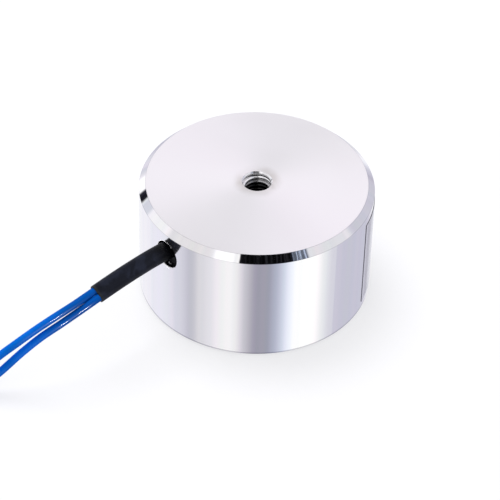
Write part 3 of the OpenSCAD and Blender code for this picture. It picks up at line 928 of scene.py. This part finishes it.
# %% Cards: turned from the camera, half width, soft edge, lowest, highest, fade, tone
WALL_LOW, WALL_HIGH = -95, -9
CARDS = [
    (-64, 2, 38, WALL_LOW, WALL_HIGH, 4, (0.74, 0.74, 0.77)),
    (-100, 20, 28, WALL_LOW, WALL_HIGH, 4, (0.90, 0.90, 0.96)),
    (-66, 1.5, 8, WALL_LOW, WALL_HIGH, 4, (0.85, 0.85, 0.88)),
    (7.8, 4, 27.5, WALL_LOW, WALL_HIGH, 4, (0.38, 0.375, 0.44)),
    (27, 5, 12, WALL_LOW, WALL_HIGH, 4, (0.88, 0.93, 1.03)),
    (52, 10, 12, WALL_LOW, WALL_HIGH, 4, (1.12, 1.13, 1.10)),
    (115, 18, 34, WALL_LOW, WALL_HIGH, 4, (0.61, 0.61, 0.70)),
    (180, 34, 14, WALL_LOW, WALL_HIGH, 4, (0.95, 0.95, 0.97)),
    (-176, 6, 17, -34, WALL_HIGH, 6, (0.64, 0.64, 0.69)),
    (150, 3, 9, -34, WALL_HIGH, 6, (0.80, 0.80, 0.84)),
    (161, 4, 6, -18, -6, 4, (1.12, 1.12, 1.12)),
    (-138, 4, 12, -34, WALL_HIGH, 6, (0.68, 0.68, 0.73)),
    (-127.4, 2.6, 2.4, -6, 14, 3, (0.01, 0.01, 0.015)),
    (-117.5, 3, 4, -6, 18, 3, (0.72, 0.74, 0.80)),
    (-170, 16, 16, -26, -10, 3, (0.84, 0.83, 0.88)),
    (12, 27, 1.5, 30, 70, 4, (0.005, 0.005, 0.006)),
    (46, 7, 3, 28, 62, 4, (0.26, 0.30, 0.38)),
    (-32, 8, 4, 36, 60, 4, (1.16, 1.17, 1.16)),
    (-137, 4, 3, -8, 10, 4, (1.16, 1.17, 1.16)),
    (-66, 18, 8, 20, 60, 4, (0.85, 0.84, 0.84)),
    (72, 18, 10, 14, 56, 4, (0.82, 0.82, 0.84)),
    (121.5, 20.5, 9, -14, 30, 5, (0.64, 0.64, 0.71)),
    (-158, 10, 18, 54, 82, 14, (0.52, 0.53, 0.51)),
    (173, 8, 10, -4, 20, 6, (0.82, 0.84, 0.81)),
    (-151, 4, 10, 32, 48, 4, (1.0, 0.92, 0.99)),
    (156, 8, 14, 46, 74, 8, (1.0, 0.92, 0.99)),
]
print(len(CARDS), "cards")

# %% World: the clutter and the drapes
CLUTTER_FINE, CLUTTER_DIM, CLUTTER_LIT = 30.0, 0.4, 4.0
CLUTTER_FROM, CLUTTER_TO = 0.45, 0.7
WHITE = (1.0, 1.0, 1.02)
DRAPES_DEEP, DRAPES_GREY, DRAPES_FINE = (0.26, 0.26, 0.26), 0.55, 9.0
world = bpy.data.worlds.new("studio")
bpy.context.scene.world = world
world.use_nodes = True
tree = world.node_tree
tree.nodes.clear()
direction = add(tree, "ShaderNodeTexCoord", 0)
clutter = add(tree, "ShaderNodeTexNoise", sockets={
    "Vector": direction, "Scale": CLUTTER_FINE, "Detail": 3.0})
clutter = ranged(tree, clutter, CLUTTER_FROM, CLUTTER_TO, CLUTTER_DIM, CLUTTER_LIT)
level = vector(tree, "NORMALIZE", vector(tree, "MULTIPLY", direction, (1, 1, 0)))
drapes = add(tree, "ShaderNodeTexNoise", 1, sockets={
    "Vector": level, "Scale": DRAPES_FINE, "Detail": 3.0})
drapes = blend(tree, DRAPES_GREY, drapes, drapes.node.outputs[0])
drapes = vector(tree, "MULTIPLY", drapes, DRAPES_DEEP)
tone = vector(tree, "ADD", drapes, tuple(t - DRAPES_DEEP[0] / 2 for t in WHITE))
print("world", world.name)

# %% World: the cards over the drapes
CLUTTER_BELOW = 0.35
for turned, half, edge, low, high, fade, dim in CARDS:
    a = math.radians(CAMERA_AZIMUTH + turned)
    mask = use(tree, card, Direction=direction, Toward=(math.cos(a), math.sin(a), 0),
               Half=half, Edge=edge, Low=low, High=high, Fade=fade)
    if dim[0] < CLUTTER_BELOW:
        dim = vector(tree, "SCALE", dim, scale=clutter)
    tone = blend(tree, mask, tone, blend(tree, 1.0, tone, dim, "MULTIPLY"))
print("cards with clutter:", sum(row[-1][0] < CLUTTER_BELOW for row in CARDS))

# %% World: what each kind of ray meets
SOFT_LIGHT, FROM_BELOW = (0.78, 0.78, 0.80), (0.70, 0.70, 0.72)
RISE_LOW, RISE_HIGH = -0.35, 0.15
rays = tree.nodes.new("ShaderNodeLightPath").outputs
rise = ranged(tree, one_axis(tree, direction, 2), RISE_LOW, RISE_HIGH)
soft = blend(tree, rise, FROM_BELOW, SOFT_LIGHT)
light = blend(tree, rays["Is Glossy Ray"], soft, tone)
seen_as_white = calc(tree, "MAXIMUM", rays["Is Camera Ray"], rays["Is Transmission Ray"])
light = blend(tree, seen_as_white, light, (1, 1, 1))
sky = add(tree, "ShaderNodeBackground", sockets={"Color": light, "Strength": 1.0})
output = tree.nodes.new("ShaderNodeOutputWorld")
tree.links.new(sky, output.inputs["Surface"])
print("world made of", len(tree.nodes), "nodes")

# %% [markdown]
# ## The main lamp
# One wide soft lamp high on the left gives the magnet its faint shadow on the table. Gloss doesn't see
# it, because the cards are planned to be all that the nickel shows.

# %% Lamp
def lamp(name, place, towards, size, power):
    data = bpy.data.lights.new(name, "AREA")
    data.shape, data.size, data.energy = "DISK", size, power
    piece = bpy.data.objects.new(name, data)
    bpy.context.scene.collection.objects.link(piece)
    piece.location = place
    aim = (Vector(towards) - Vector(place)).to_track_quat("-Z", "Y")
    piece.rotation_euler = aim.to_euler()
    print("lamp", name, "of", power, "W")
    return piece


SOFTBOX_AT, SOFTBOX_TO, SOFTBOX_SIZE, SOFTBOX_POWER = (-0.30, 0.02, 0.85), (0, -0.01, 0.01), 0.5, 3.6
softbox = lamp("softbox", SOFTBOX_AT, SOFTBOX_TO, SOFTBOX_SIZE, SOFTBOX_POWER)
softbox.visible_glossy = False

# %% [markdown]
# ## A strip lamp for the leads
# A narrow lamp low on the right draws the fine streaks on the leads, the bright line on the rounded
# edge of the side hole and the spot on the drop of resin. It is linked to those pieces only, and only
# their gloss sees it, so it adds neither a hot spot on the nickel nor light.

# %% Strip lamp
STRIP_TURNED, STRIP_RISE, STRIP_FAR = 22, -4, 0.35
STRIP_SIZE, STRIP_POWER = 0.085, 8.0
LEADS_AT = Vector((-0.002, -0.05, 0.016))
a, e = math.radians(CAMERA_AZIMUTH + STRIP_TURNED), math.radians(STRIP_RISE)
strip_way = Vector((math.cos(a) * math.cos(e), math.sin(a) * math.cos(e), math.sin(e)))
strip = lamp("strip", LEADS_AT + STRIP_FAR * strip_way, LEADS_AT, STRIP_SIZE, STRIP_POWER)
strip.data.use_shadow = False
strip.visible_camera, strip.visible_diffuse = False, False
linked = bpy.data.collections.new("seen_in_the_strip")
for piece in (*leads.values(), drop, exit_edge):
    linked.objects.link(piece)
strip.light_linking.receiver_collection = linked

# %% [markdown]
# ## Finish
# The plain view transform keeps the tones as they were planned.

# %% Finish
bpy.context.scene.view_settings.view_transform = "Standard"
